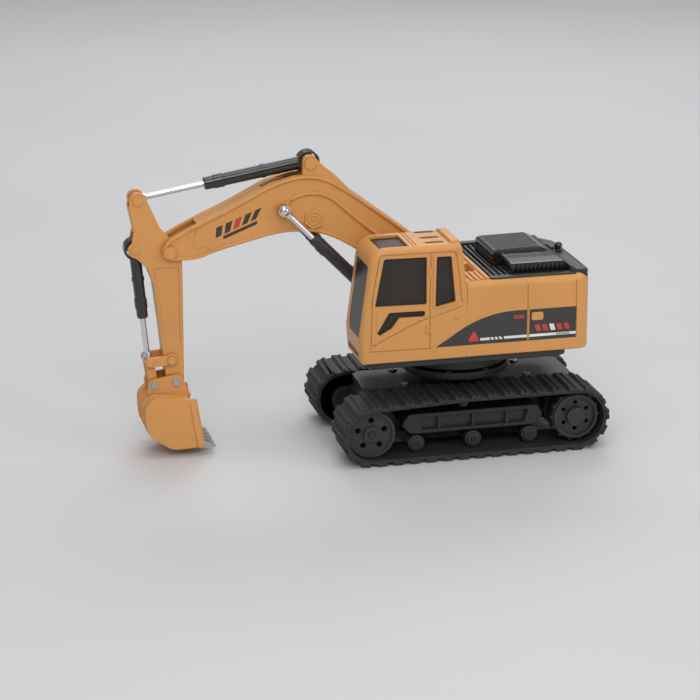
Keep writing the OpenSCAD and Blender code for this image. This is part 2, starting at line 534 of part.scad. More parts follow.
module cab_shell() color(c_yellow) row() {
  difference() {
    union() {
      difference() {
        difference() {
          cab_solid(0);
          edge_cuts(0);
          translate([0, cab_y0 + house_hw, 0]) mirror([0, 1, 0]) edge_cuts(0);
        }
        edge_cuts(1);
        translate([0, cab_y0 + house_hw, 0]) mirror([0, 1, 0]) edge_cuts(1);
      }
      // raised bar across the roof's rear
      intersection() {
        yz(7, 14) polygon(round_poly([[9.6, roof_z - 2, 0], [36.8, roof_z - 2, 0],
          [36, roof_z + 1.6, 1.6], [10.6, roof_z + 1.6, 1.6]], 5));
        xz(8, 38) polygon(round_poly([[7.4, roof_z - 2, 0], [13.4, roof_z - 2, 0],
          [12.8, roof_z + 1.6, 0.9], [8.3, roof_z + 1.6, 0.9]], 5));
      }
      xz(house_hw - 0.4, house_hw + 0.35) polygon(round_poly([[22.6, 79.2, 1], [22.2, 107.6, 1],
        [11.9, 107.5, 1], [9, 81.4, 1]], 3));
    }
    difference() {
      cab_solid(wall);
      box([0, 0, house_z - 5], [4.6 + wall, 50, 70]);
    }
    box([4.6 + wall, cab_y0 + wall, house_z - 1], [57, house_hw - wall, house_z + 4]);
    xz(30, house_hw + 2) polygon(door_win);
    xz(30, house_hw + 2) polygon(rear_win);
    xz(30, house_hw + 2) polygon(low_win);
    xz(0, 20) polygon(round_poly([[22, 84, 1], [52, 84, 1], [48, 101, 1], [22, 101, 1]], 3));
    // windscreen, skylight, roof slots and lamp slot
    yz(50, 66) polygon(round_poly([[17.4, 66, 2], [36.6, 66, 1], [36.6, 102.6, 1.5],
      [12.6, 102.6, 1.5], [14.4, 86, 9], [14.4, 70, 2]], 3));
    up(roof_z - 4, roof_z + 3) polygon(round_poly([[34.3, 13.6, 1], [49.5, 13.6, 1.5], [49.5, 36.3, 1.5],
      [34.3, 36.3, 1]], 3));
    for (y = roof_slot_y) up(roof_z - 4, roof_z + 3) stadium([16.9, y], [23.5, y], 1.8);
    yz(56, 62) polygon(round_poly([[11, 54.6, 0.8], [33.6, 54.6, 0.8], [33.6, 57.6, 0.8],
      [11, 57.6, 0.8]], 3));
    for (x = [30.4, 32.2]) box([x - 0.28, 10, roof_z - 0.35], [x + 0.28, 37, roof_z + 1]);
    groove(crease, house_hw);
    groove([[55.6, 59], [23.8, 58.7]], house_hw);
    groove([[23.6, 108.6], [24, 84.1], [23.8, 58.8]], house_hw);
    groove([[54.3, 62.6], [53.6, 86.5], [51.5, 98.6], [50.1, 105.9], [49.1, 108.5], [11.4, 108.2],
      [10.3, 105.7], [8.6, 94], [7.6, 83.4], [6.7, 81.9]], house_hw, 0.5, 0.35);
    groove([[26, 70.7], [26, 66.5], [24, 66.4]], house_hw, 0.35, 0.3);
  }
  ycyl([9.9, 74.4], 1.5, house_hw - 0.3, house_hw + 0.3);
  xz(house_hw - 0.3, house_hw + 0.4) polygon([[9, 106.6], [10.4, 106.6], [10.2, 108.4], [9.2, 108.4]]);
}
module cab_liner() color(c_glass) row() {
  difference() {
    cab_solid(wall + 0.03);
    cab_solid(wall + 1);
    box([0, 0, house_z - 3], [70, 50, 64]);
  }
  for (y = roof_slot_y) up(roof_z - wall - 0.6, roof_z - 0.4) stadium([16.9, y], [23.5, y], 1.74);
}
module front_lamp() color([0.8, 0.8, 0.76]) row() {
  yz(55.2, 56.7) polygon(round_poly([[10.4, 54, 0.8], [34, 54, 0.8], [34, 58.2, 0.8], [10.4, 58.2, 0.8]], 3));
  for (y = [14.5, 30]) translate([56.6, y, 56.1]) xcyl(1.15, 0, 1.2);
}

// ---------- boom ----------
boom_top = spline([[147.9, 113.2], [140.3, 117.2], [130.1, 122], [117.3, 127.6], [107, 132.7], [96.7, 137.8],
  [86.4, 141], [81.3, 141.8], [76.1, 141.8], [71, 140.9], [65.8, 139], [55.5, 132.4], [45.1, 124.9],
  [24.1, 108.9], [10, 97.4], [0.6, 88]], 3);
boom_low = spline([[1.6, 73.6], [9.4, 72.7], [17, 75.4], [28, 83.4], [40, 93.2], [53, 102.4], [58.2, 105.7],
  [63.4, 108.6], [68.6, 110.8], [75.4, 112.6], [81.6, 113.2], [89.3, 113.2], [97, 112.2], [107.4, 109.8],
  [117.7, 107.3], [127.4, 104.6], [132, 102.8], [138.2, 102], [144.6, 102.1]], 3);
boom_prof = concat(boom_low, [for (a = [-75:15:30]) S + 3.9 * dirv(a)], [[150.3, 110.9]], boom_top,
  [[-1.4, 84.6], [-1.9, 80], [-0.6, 76.2]]);
ridge_line = spline([[88.4, 128.4], [83.6, 131], [79, 132.3], [74.4, 132.5], [69.8, 131.7], [65.2, 129.6],
  [60.5, 125.8], [55.9, 121.6], [51.3, 117.6], [46.6, 113.5], [41.9, 109.7], [35, 104], [28, 98]], 3);
lug_prof = [[62, 131], [79.8, 136], [79.5, 148.6], [79, 150.6], [77.6, 151.8], [75.6, 152.1],
  [73.4, 151.4], [71.2, 148.6], [65.4, 142.6], [60.4, 138.6], [56.5, 134.6], [53.5, 129.5]];
hex_p = [74.2, 119];
screw_p = [[118, 113.5], [40, 103]];
module boom_half(s) color(c_yellow) row() translate([0, arm_y, 0]) side(s) {
  difference() {
    union() {
      difference() {
        xz(0, boom_hw) polygon(boom_prof);
        xz(-1, boom_hw - 1.5) polygon(inset(boom_prof, 1.5));
        xz(boom_hw - 0.8, boom_hw + 1) polygon(inset(boom_prof, 1.6));
      }
      xz(3.9, boom_hw - 0.9) polygon(lug_prof);
      // raised ridge, bosses and fork cheeks
      xz(boom_hw - 1, boom_hw) polygon(band(ridge_line, 0.8, 1.05));
      ycyl(E, 3.9, stick_hw, boom_hw + 0.3);
      translate([hex_p[0], 0, hex_p[1]]) rotate([-90, 0, 0]) rotate(20.4)
        cylinder(r = 5.2, h = boom_hw + 0.4, $fn = 6);
      for (p = screw_p) ycyl(p, s > 0 ? 2.4 : 3.2, 0, s > 0 ? boom_hw - 1 : boom_hw - 0.2);
      ycyl(F, 6.6, 0, boom_hw);
      xz(stick_hw + 0.5, boom_hw - 0.2) translate(S) circle(2.9);
    }
    // slots for the stick's head, the stick cylinder and the cylinders' pins
    xz(-1, stick_hw + 0.4) polygon([[128, 96], [160, 96], [160, 120], [141, 121], [131, 119.6]]);
    xz(-1, stick_hw + 0.4) translate(S) circle(11.4);
    xz(-1, 3.9) translate(P) circle(8.6);
    xz(-1, 3.9) polygon([P + [-4, -8.6], P + [30, -8.6], P + [30, 6], P + [-4, 8]]);
    xz(-1, 2.8) polygon([[85, 136.6], [99.8, 134.6], [102, 141], [85, 141]]);
    xz(boom_hw + 0.1, boom_hw + 2) translate(hex_p) {
      difference() { circle(3.5); circle(3.1); }
      difference() { circle(1.8); circle(1.4); }
      circle(0.5);
    }
    for (p = screw_p) {
      ycyl(p, 1.02, -1, s > 0 ? boom_hw - 2 : boom_hw + 1);
      if (s < 0) ycyl(p, 2.1, boom_hw - 1.04, boom_hw + 1);
    }
    ycyl(F, 2.5 + fit, -1, boom_hw + 1);
    ycyl(S, 2, -1, boom_hw + 1);
    ycyl(S, 3.26, boom_hw - 0.2, boom_hw + 1);
    ycyl(P, 1.5, -1, boom_hw + 1);
    ycyl(E, 1.5, -1, boom_hw + 1);
  }
}
module boom_left() boom_half(1);
module boom_right() boom_half(-1);
module boom_pins() color(c_yellow) row() translate([0, arm_y, 0]) {
  ycyl(S, 2, -boom_hw + 0.01, boom_hw - 0.01);
  ycyl(P, 1.5, -boom_hw + 0.9, boom_hw - 0.9);
  for (s = [-1, 1]) side(s) {
    ycyl(S, 3.2, boom_hw - 0.2, boom_hw + 0.6);
    ycyl(P, 3.1, boom_hw - 0.9, boom_hw - 0.1);
  }
}
module cylinder_pin(s) side(s) {
  ycyl(E, 1.5, stick_hw + 0.6, boom_hw + 6.3);
  ycyl(E, 1.9, boom_hw + 5.8, boom_hw + 6.4);
}
module linkage_pins() color(c_steel) row() translate([0, arm_y, 0]) for (s = [-1, 1]) cylinder_pin(s);
module boom_screws() color(c_steel) row() translate([0, arm_y, 0])
  for (p = screw_p) {
    ycyl(p, 1, -boom_hw + 0.98, boom_hw - 2.1);
    ycyl(p, 2, -boom_hw + 0.1, -boom_hw + 1.02);
  }

// ---------- telescoping cylinders ----------
function length2(a, b) = norm(b - a);
module barrel(a, e, r, len, hole, tail_hw) {
  // a: lower pin, e: rod's eye, both in X, Z
  aim(a, e) difference() {
    union() {
      ycyl([0, 0], eye_r, -tail_hw, tail_hw);
      xcyl(r, 3, len);
      xcyl(r + 0.35, len - 9.5, len - 4.5);
      xcyl(r - 0.3, len - 1, len + 0.6);
      xcyl(r + 0.35, len * 0.42, len * 0.42 + 2);
    }
    ycyl([0, 0], hole, -9, 9);
    xcyl(rod_bore, eye_r + 3, len + 2);
    // flats keep the barrel inside the space beside the boom
    for (s = [-1, 1]) side(s) box([-9, tail_hw, -9], [eye_r + 2, 9, 9]);
  }
}
module rod(a, e, len, eye, bore, hw) aim(e, a) difference() {
  union() {
    ycyl([0, 0], eye, -hw, hw);
    xcyl(rod_r, eye - 1, len);
    xcyl(rod_r + 0.5, eye - 0.8, eye + 1.6);
  }
  ycyl([0, 0], bore, -9, 9);
}
boom_cyl_y = 11.6;
module boom_barrel(s) color(c_dark) row() translate([0, arm_y, 0]) side(s)
  translate([0, boom_cyl_y, 0]) barrel(G, E, barrel_r, 61, 3.6, 2.4);
module boom_rod(s) color(c_chrome) row() translate([0, arm_y, 0]) side(s)
  translate([0, boom_cyl_y, 0]) rod(G, E, 60, 2.9, 1.5 + fit, 2.1);
module boom_barrel_left() boom_barrel(1);
module boom_barrel_right() boom_barrel(-1);
module boom_rod_left() boom_rod(1);
module boom_rod_right() boom_rod(-1);
module stick_barrel() color(c_black) row() translate([0, arm_y, 0])
  barrel(P, T, stick_barrel_r, 53.5, 4.6, 3.4);
module stick_rod() color(c_chrome) row() translate([0, arm_y, 0]) rod(P, T, 60, 3.4, 1.5 + fit, 2.2);
module bucket_barrel() color(c_black) row() translate([0, arm_y, 0]) barrel(C, K, 2.9, 36, 4.35, 3);
module bucket_rod() color(c_chrome) row() translate([0, arm_y, 0]) rod(C, K, 38, 2.5, 1.2 + fit, 2.3);

// ---------- stick and bucket ----------
stick_prof = concat([for (a = [195:15:345]) B + 4.5 * dirv(a)],
  [[152.4, 50], [153.6, 64], [156.4, 90], [159.4, 98], [164.6, 103.6]],
  [for (a = [-60:20:60]) C + 3.9 * dirv(a)], [[165.4, 118], [167.6, 129.6]],
  [for (a = [-20:20:160]) T + 4.2 * dirv(a)], [[151.8, 117.2], [147.4, 112.8], [141.6, 103.6], [141.6, 88],
  [141.9, 60]]);
module stick() color(c_yellow) row() translate([0, arm_y, 0]) difference() {
  xz(-stick_hw, stick_hw) polygon(stick_prof);
  for (s = [-1, 1]) side(s) xz(stick_hw - 0.5, stick_hw + 1)
    polygon([[143.6, 58], [151.4, 58], [154.6, 90], [156, 98], [143.4, 98]]);
  // hollow core
  xz(-stick_hw + 1.6, stick_hw - 1.6) polygon([[143.8, 60], [151.4, 60], [154.2, 88], [154, 98], [143.6, 98]]);
  ycyl(S, 2 + fit, -9, 9);
  ycyl(B, 1.3 + fit, -9, 9);
  ycyl(R, 1.25, -9, 9);
  ycyl(T, 1.5, -9, 9);
  ycyl(C, 1.3, -9, 9);
  // slots for the rod's eye and the bucket cylinder's tail
  xz(-2.6, 2.6) translate(T) circle(5.6);
  xz(-2.6, 2.6) polygon([T + [-14, -5.6], T + [2, -5.6], T + [-4, 8], T + [-14, 8]]);
  xz(-3.6, 3.6) translate(C) circle(8.6);
  xz(-3.9, 3.9) polygon([[157.6, 106], [156.4, 90], [154, 66], [170, 66], [170, 106]]);
}
module stick_pins() color(c_yellow) row() translate([0, arm_y, 0]) {
  ycyl(T, 1.5, -stick_hw, stick_hw);
  ycyl(C, 1.3, -stick_hw, stick_hw);
  ycyl(R, 1.25, -7.6, 7.6);
  for (s = [-1, 1]) side(s) {
    ycyl(T, 2.6, stick_hw, stick_hw + 0.6);
    ycyl(C, 2.2, stick_hw, stick_hw + 0.5);
    ycyl(R, 2.2, 7.5, 8.1);
  }
}
module rocker() color(c_yellow) row() translate([0, arm_y, 0]) {
  for (s = [-1, 1]) side(s) {
    difference() {
      xz(5.4, 7.1) { stadium(R, K, 2.5); translate(R) circle(3.1); }
      ycyl(R, 1.25 + fit, 4, 9);
    }
    ycyl(K, 2, 7.1, 7.7);
  }
  ycyl(K, 1.2, -7, 7);
}
module link() color(c_yellow) row() translate([0, arm_y, 0]) {
  for (s = [-1, 1]) side(s) difference() {
    xz(2.8, 5.1) stadium(Q, K, 2.3);
    ycyl(Q, 1.2 + fit, 2, 6);
    ycyl(K, 1.2 + fit, 2, 6);
  }
  ycyl(Q + (K - Q) * 0.36, 1.2, -3, 3);
}
bucket_out = round_poly([[-9, -7.4, 0], [-13, -33.2, 0], [4, -33.8, 10], [16.8, -25, 11],
  [17.6, -10, 6], [12.4, -5.4, 3]], 6);
bucket_in = round_poly([[-9.6, -7.1, 0], [-13.4, -31.8, 0], [3.6, -32.2, 8.8], [15.2, -24.4, 9.6],
  [16, -10.8, 4.6], [11.6, -7, 1.8]], 6);
module bucket() color(c_yellow) row() translate([B[0], arm_y, B[1]]) {
  h = bucket_w / 2;
  difference() {
    union() {
      xz(-h, h) polygon(bucket_out);
      for (s = [-1, 1]) side(s) xz(h - 1.4, h + 0.7) polygon([[-8.4, -10], [-12.2, -32.6], [-9, -33],
        [-5.6, -10]]);
      for (i = [-1, 0, 1]) xz(i * 9 - 0.8, i * 9 + 0.8) intersection() {
        translate([0.6, 0.4]) polygon(bucket_out);
        polygon([[2, 0], [30, 0], [30, -50], [2, -50]]);
      }
    }
    xz(-h + 1.5, h - 1.5) polygon(bucket_in);
    xz(-h + 1.5, h - 1.5) polygon([[-8, -8.9], [-12.2, -31.6], [-20, -31.6], [-20, -7.3]]);
    for (i = [-2:2]) box([-20, i * 6.3 - 1.62, -35], [-9.58, i * 6.3 + 1.62, -31]);
  }
  for (s = [-1, 1]) side(s) difference() {
    xz(5.5, 7.3) {
      circle(4);
      translate(Q - B) circle(3.2);
      polygon([[-4, 0], [-7.6, -7.6], [14.6, -7.6], [14.4, -1.6], [11.6, 2.2], [0, 4]]);
    }
    ycyl([0, 0], 1.2, 4, 9);
    ycyl(Q - B, 1.2, 4, 9);
  }
}
module bucket_teeth() color(c_grey) row() translate([B[0], arm_y, B[1]]) {
  for (i = [-2:2]) xz(i * 6.3 - 1.6, i * 6.3 + 1.6)
    polygon([[-9.6, -33.9], [-9.6, -31.4], [-13.4, -31.2], [-18.6, -33.4], [-18.6, -34], [-13.4, -34.2]]);
  ycyl([0, 0], 1.3, -5.4, 5.4);
  ycyl([0, 0], 1.2, -7.3, 7.3);
  ycyl(Q - B, 1.2, -7.3, 7.3);
  for (s = [-1, 1]) side(s) {
    ycyl([0, 0], 2.1, 7.3, 7.9);
    ycyl(Q - B, 2, 7.3, 7.9);
  }
}

chassis_base();
turntable_seat();
battery_pack();
battery_door();
base_screws();
drive_motor_left();
drive_motor_right();
side_frame_left();
side_frame_right();
track_left();
track_right();
sprocket_left();
sprocket_right();
idler_left();
idler_right();
roller_left_front();
roller_left_middle();
roller_left_rear();
roller_left_top();
roller_right_front();
roller_right_middle();
roller_right_rear();
roller_right_top();
power_switch();
house_shell();
house_pan();
engine_deck();
engine_hood();
exhaust();
arm_bracket();
slew_motor();
main_board();
house_screws();
cab_shell();
cab_liner();
front_lamp();
boom_left();
boom_right();
boom_pins();
boom_screws();
boom_barrel_left();
boom_rod_left();
boom_barrel_right();
boom_rod_right();
stick();
stick_pins();
stick_barrel();
stick_rod();
bucket_barrel();
bucket_rod();
rocker();
link();
bucket();
bucket_teeth();
linkage_pins();
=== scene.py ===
import math

import bmesh
import bpy
from mathutils import Matrix, Vector


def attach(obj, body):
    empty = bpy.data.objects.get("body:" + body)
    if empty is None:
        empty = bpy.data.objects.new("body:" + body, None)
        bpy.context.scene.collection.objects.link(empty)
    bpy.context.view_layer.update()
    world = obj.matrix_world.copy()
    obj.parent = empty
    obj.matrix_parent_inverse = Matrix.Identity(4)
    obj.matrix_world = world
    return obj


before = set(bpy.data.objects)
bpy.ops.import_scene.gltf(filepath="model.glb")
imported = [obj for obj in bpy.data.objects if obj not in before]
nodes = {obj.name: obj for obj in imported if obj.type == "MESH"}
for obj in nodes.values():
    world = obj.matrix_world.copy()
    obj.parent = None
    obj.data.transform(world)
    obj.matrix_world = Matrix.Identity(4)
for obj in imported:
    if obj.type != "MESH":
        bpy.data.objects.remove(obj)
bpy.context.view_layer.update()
scene = bpy.context.scene
MM = 0.001
XM = -50.0  # the slew axis, in mm along the row's X
ARM_Y = -8.0
SIDE = 39.0  # the house's side plane
REAR = -61.5  # the house's rearmost point
CORNER = 8.5  # radius of the house's upright rear corners, in plan
CAB_FRONT_LOW, CAB_FRONT_TOP = (60.2, 66.6), (53.9, 112.0)  # (x, z) of the cab's front face
LAMP_LOW, LAMP_SLOPE = (58.72, 54.6), 0.085  # (x, z) and slope of the dark pane in the lamp slot, painted shade of the slot
STRIPE_LOW, STRIPE_TOP = 59.0, 75.4  # the printed field on the house's sides
LINE_LOW, LINE_TOP = 60.9, 62.25  # the light line along it
MARK_LOW, MARK_TOP = 63.7, 67.1  # the slanted marks above it
RIGHT_SHIFT = 17.2  # the right side's field starts this much further back
DECK_RIB_Z = 90.35
BOOM_HALF = 8.0  # half width of the boom over its rims
PANEL_SUNK = 0.8  # depth of the boom's sides inside the rims
ROD_PIN = (90.5, 125.6)  # (x, z) of the pin in the lift cylinders' rod eyes
CAP_SIDES = 32
SENSOR, FOCAL_PX, FRAME_PX = 36, 2448, 700  # sensor mm, focal length and width of the picture in pixels


def P(x, y, z):
    """A point given in mm from the slew axis, as metres in the row frame."""
    return Vector(((x + XM) * MM, y * MM, z * MM))


# ---------------------------------------------------------------- camera, light, floor
cam = bpy.data.objects.new("camera", bpy.data.cameras.new("camera"))
scene.collection.objects.link(cam)
scene.camera = cam
yaw, pitch, roll = math.radians(-13.42), math.radians(17.44), math.radians(0.23)
fwd = Vector((math.sin(yaw) * math.cos(pitch), -math.cos(yaw) * math.cos(pitch), -math.sin(pitch)))
right = Vector((-math.cos(yaw), -math.sin(yaw), 0))
down = fwd.cross(right)
right, down = (right * math.cos(roll) + down * math.sin(roll),
               down * math.cos(roll) - right * math.sin(roll))
turn = Matrix((right, -down, -fwd)).transposed().to_4x4()
cam.matrix_world = Matrix.Translation(Vector((0.2853, 1.1713, 0.4268))) @ turn
cam.data.sensor_width = SENSOR
cam.data.lens = SENSOR * FOCAL_PX / FRAME_PX
cam.data.clip_start, cam.data.clip_end = 0.05, 30

scene.view_settings.view_transform = "Standard"
scene.view_settings.look = "None"
scene.view_settings.exposure = 0.0
scene.view_settings.gamma = 1.0

world = bpy.data.worlds.new("studio")
scene.world = world
world.use_nodes = True
wt = world.node_tree
wt.nodes.clear()
w_out = wt.nodes.new("ShaderNodeOutputWorld")
w_bg = wt.nodes.new("ShaderNodeBackground")
w_grad = wt.nodes.new("ShaderNodeTexGradient")
w_map = wt.nodes.new("ShaderNodeMapping")
w_geo = wt.nodes.new("ShaderNodeTexCoord")
w_ramp = wt.nodes.new("ShaderNodeValToRGB")
w_map.inputs["Rotation"].default_value = (0, math.radians(90), 0)
w_ramp.color_ramp.elements[0].color = (0.36, 0.36, 0.37, 1)
w_ramp.color_ramp.elements[1].color = (0.95, 0.96, 1.0, 1)
wt.links.new(w_geo.outputs["Generated"], w_map.inputs["Vector"])
wt.links.new(w_map.outputs[0], w_grad.inputs[0])
wt.links.new(w_grad.outputs["Fac"], w_ramp.inputs[0])
wt.links.new(w_ramp.outputs[0], w_bg.inputs["Color"])
w_bg.inputs["Strength"].default_value = 0.50
wt.links.new(w_bg.outputs[0], w_out.inputs[0])


def softbox(name, at, aim, size, watts, colour=(1, 1, 1)):
    """Rectangular area light at a point in metres, turned towards aim."""
    data = bpy.data.lights.new(name, "AREA")
    data.shape = "RECTANGLE"
    data.size, data.size_y = size
    data.energy = watts
    data.color = colour
    o = bpy.data.objects.new(name, data)
    scene.collection.objects.link(o)
    o.location = at
    o.rotation_mode = "QUATERNION"
    o.rotation_quaternion = (Vector(aim) - Vector(at)).to_track_quat("-Z", "Y")


softbox("key", (0.34, 1.31, 1.08), (0, 0, 0.06), (0.9, 0.7), 9.4, (1.0, 0.985, 0.96))
softbox("fill", (-0.95, 0.85, 0.55), (0, 0, 0.07), (0.8, 0.9), 4.0, (0.97, 0.98, 1.0))
softbox("back", (-0.35, -1.15, 0.95), (0, 0, 0.08), (1.1, 0.5), 6.5)
softbox("top", (0.05, 0.1, 1.45), (0, 0, 0.05), (0.9, 0.9), 5.4)


# ---------------------------------------------------------------- materials
class Shade:
    """A node material built in a few words."""

    def __init__(self, name, base, **sockets):
        self.m = bpy.data.materials.new(name)
        self.m.use_nodes = True
        self.t = self.m.node_tree
        self.t.nodes.clear()
        self.out = self.node("OutputMaterial")
        self.bsdf = self.node("BsdfPrincipled")
        self.join(self.bsdf.outputs[0], self.out.inputs[0])
        self.m.diffuse_color = (*base, 1)
        for k, v in sockets.items():
            self.bsdf.inputs[k.replace("_", " ")].default_value = v
        self.at = self.node("TexCoord").outputs["Object"]

    def node(self, kind, **fields):
        n = self.t.nodes.new("ShaderNode" + kind)
        for k, v in fields.items():
            setattr(n, k, v)
        return n

    def join(self, a, b):
        self.t.links.new(a, b)

    def put(self, value, socket):
        if hasattr(value, "links"):
            self.join(value, socket)
        else:
            socket.default_value = value

    def math(self, op, a, b=0.0):
        n = self.node("Math", operation=op)
        self.put(a, n.inputs[0])
        self.put(b, n.inputs[1])
        return n.outputs[0]

    def noise(self, scale, detail=2.0, rough=0.5, vector=None):
        n = self.node("TexNoise")
        self.join(vector or self.at, n.inputs["Vector"])
        n.inputs["Scale"].default_value = scale
        n.inputs["Detail"].default_value = detail
        n.inputs["Roughness"].default_value = rough
        return n.outputs["Fac"]

    def stretch(self, scale):
        n = self.node("Mapping")
        self.join(self.at, n.inputs["Vector"])
        n.inputs["Scale"].default_value = scale
        return n.outputs[0]

    def fit(self, value, a, b, c=0.0, d=1.0):
        n = self.node("MapRange")
        self.put(value, n.inputs["Value"])
        for k, v in zip(("From Min", "From Max", "To Min", "To Max"), (a, b, c, d)):
            n.inputs[k].default_value = v
        return n.outputs[0]

    def mix(self, factor, a, b):
        n = self.node("Mix", data_type="RGBA")
        self.put(factor, n.inputs["Factor"])
        for v, s in ((a, n.inputs[6]), (b, n.inputs[7])):
            self.put((*v, 1) if isinstance(v, (tuple, list)) else v, s)
        return n.outputs[2]

    def edges(self, radius):
        """Softened normal, and a mask that is 1 along convex and concave edges."""
        bev = self.node("Bevel", samples=4)
        bev.inputs["Radius"].default_value = radius
        geo = self.node("NewGeometry")
        dot = self.node("VectorMath", operation="DOT_PRODUCT")
        self.join(bev.outputs[0], dot.inputs[0])
        self.join(geo.outputs["Normal"], dot.inputs[1])
        return bev.outputs[0], self.fit(dot.outputs["Value"], 0.995, 0.80)

    def painted_groove_shade(self, distance):
        """Painted shade from ambient occlusion: 0 on open surfaces, 1 deep in grooves."""
        ao = self.node("AmbientOcclusion", samples=4)
        ao.inputs["Distance"].default_value = distance
        return self.fit(ao.outputs["AO"], 0.75, 0.2)

    def bump(self, height, distance, normal=None, strength=1.0):
        n = self.node("Bump")
        n.inputs["Distance"].default_value = distance
        n.inputs["Strength"].default_value = strength
        self.join(height, n.inputs["Height"])
        if normal is not None:
            self.join(normal, n.inputs["Normal"])
        return n.outputs[0]

    def close(self, colour=None, rough=None, normal=None, metal=None):
        for v, k in ((colour, "Base Color"), (rough, "Roughness"), (normal, "Normal"), (metal, "Metallic")):
            if v is not None:
                self.put(v, self.bsdf.inputs[k])
        return self.m


def tint(c, k):
    return tuple(min(1.0, v * k) for v in c)


def moulded(name, base, rough=0.38, grain=2600, depth=1.2e-5, edge=0.00045, wear=0.35, groove_shade=0.5,
            warm=(1.03, 0.99, 0.94), spread=0.05, **sockets):
    """Moulded plastic: satin grain, slow flow variation, brighter rubbed edges, and painted shade darkening
    its grooves.
    """
    s = Shade(name, base, **sockets)
    slow = s.noise(22, 3)
    flow = s.noise(9, 2, 0.6, s.stretch((1.0, 3.0, 5.0)))
    fine = s.noise(grain, 3, 0.6)
    mid = s.noise(430, 4, 0.6)
    soft, rim = s.edges(edge)
    dark = tint(base, 1 - spread)
    light = tuple(min(1.0, v * w * (1 + spread)) for v, w in zip(base, warm))
    c = s.mix(s.fit(slow, 0.3, 0.7), dark, light)
    c = s.mix(s.math("MULTIPLY", s.fit(flow, 0.35, 0.75), 0.35), c, tint(base, 1 + spread))
    scuff = s.math("MULTIPLY", rim, s.fit(mid, 0.35, 0.62))
    c = s.mix(s.math("MULTIPLY", scuff, wear), c, tuple(min(1.0, v * 1.25 + 0.03) for v in base))
    # painted shade: grooves and recesses darkened through ambient occlusion
    c = s.mix(s.math("MULTIPLY", s.painted_groove_shade(0.0022), groove_shade), c, tint(base, 0.38))
    r = s.fit(s.math("ADD", s.math("MULTIPLY", mid, 0.6), s.math("MULTIPLY", slow, 0.4)), 0.3, 0.7,
              rough - 0.05, rough + 0.07)
    r = s.math("SUBTRACT", r, s.math("MULTIPLY", scuff, 0.08))
    n = s.bump(fine, depth, soft)
    n = s.bump(mid, depth * 1.6, n, 0.5)
    return s.close(c, r, n)


YELLOW = (0.655, 0.308, 0.088)
M = {}
# each plastic's groove weight sets the strength of its painted shade in grooves
M["yellow"] = moulded("yellow_plastic", YELLOW, 0.40, wear=0.5, groove_shade=0.62, Specular_IOR_Level=0.5,
                      Coat_Weight=0.06, Coat_Roughness=0.25)
M["dark"] = moulded("dark_plastic", (0.028, 0.027, 0.027), 0.42, wear=0.25, groove_shade=0.5, spread=0.12)
M["black"] = moulded("black_plastic", (0.017, 0.0165, 0.0165), 0.36, wear=0.22, spread=0.12)
M["gloss"] = moulded("gloss_black_plastic", (0.012, 0.0118, 0.0122), 0.20, grain=1400, depth=4e-6,
                     wear=0.3, spread=0.1, Coat_Weight=0.5, Coat_Roughness=0.08)
M["rubber"] = moulded("track_rubber", (0.022, 0.0212, 0.0205), 0.62, grain=1900, depth=2.6e-5, wear=0.85,
                      groove_shade=0.7, spread=0.2, edge=0.0005)


def smoked():
    """Dark translucent plastic of the side windows, with a faint haze."""
    s = Shade("smoked_plastic", (0.030, 0.026, 0.023), Specular_IOR_Level=0.24, Coat_Weight=0.06,
              Coat_Roughness=0.15)
    haze, fine = s.noise(60, 3), s.noise(1500, 2)
    c = s.mix(s.fit(haze, 0.3, 0.7), (0.026, 0.022, 0.0195), (0.038, 0.033, 0.030))
    r = s.fit(s.noise(240, 4), 0.3, 0.7, 0.34, 0.44)
    return s.close(c, r, s.bump(fine, 3e-6))


def glazed():
    """Smoked pane, smoother than the moulded windows."""
    s = Shade("smoked_pane", (0.030, 0.027, 0.025), Specular_IOR_Level=0.14)
    c = s.mix(s.fit(s.noise(60, 3), 0.3, 0.7), (0.026, 0.023, 0.021), (0.036, 0.032, 0.030))
    return s.close(c, s.fit(s.noise(120, 3), 0.3, 0.7, 0.26, 0.34), s.bump(s.noise(1100, 2), 2e-6))


def metal(name, base, rough, axis_scale, depth=3e-6, dirt=0.25):
    """Bright metal with fine turning or drawing lines, and painted shade that darkens it towards its outline.
    """
    s = Shade(name, base)
    lines = s.noise(1.0, 3, 0.6, s.stretch(axis_scale))
    cloud = s.noise(90, 3)
    soft, rim = s.edges(0.0002)
    c = s.mix(s.fit(cloud, 0.3, 0.75, 0, dirt), base, tint(base, 0.7))
    r = s.fit(lines, 0.3, 0.7, rough * 0.75, rough * 1.35)
    r = s.math("ADD", r, s.math("MULTIPLY", rim, 0.06))
    # painted shade: the colour darkens where the surface turns away from the camera, like the dark
    # reflections along a rod's edges
    painted_rim_shade = s.node("LayerWeight").outputs["Facing"]
    c = s.mix(s.fit(painted_rim_shade, 0.50, 0.95, 0, 0.8), c, tint(base, 0.22))
    return s.close(c, r, s.bump(lines, depth, soft), 1.0)


M["smoked"], M["pane"] = smoked(), glazed()
M["chrome"] = metal("chrome_rod", (0.74, 0.74, 0.76), 0.19, (3500, 900, 3500))
M["steel"] = metal("steel", (0.50, 0.50, 0.52), 0.32, (2500, 2500, 700), 6e-6)


def board():
    """Circuit board: a fine grid of tracks under green lacquer."""
    s = Shade("board", (0.02, 0.10, 0.04), Specular_IOR_Level=0.5)
    v = s.node("TexBrick")
    s.join(s.stretch((260, 260, 260)), v.inputs["Vector"])
    v.inputs["Color1"].default_value = (0.02, 0.11, 0.045, 1)
    v.inputs["Color2"].default_value = (0.018, 0.09, 0.04, 1)
    v.inputs["Mortar"].default_value = (0.05, 0.20, 0.08, 1)
    v.inputs["Scale"].default_value = 1.0
    v.inputs["Mortar Size"].default_value = 0.03
    c = s.mix(s.fit(s.noise(120, 3), 0.3, 0.7), v.outputs["Color"], (0.015, 0.08, 0.03))
    return s.close(c, s.fit(s.noise(500, 3), 0.3, 0.7, 0.25, 0.45), s.bump(v.outputs["Fac"], 2e-5))


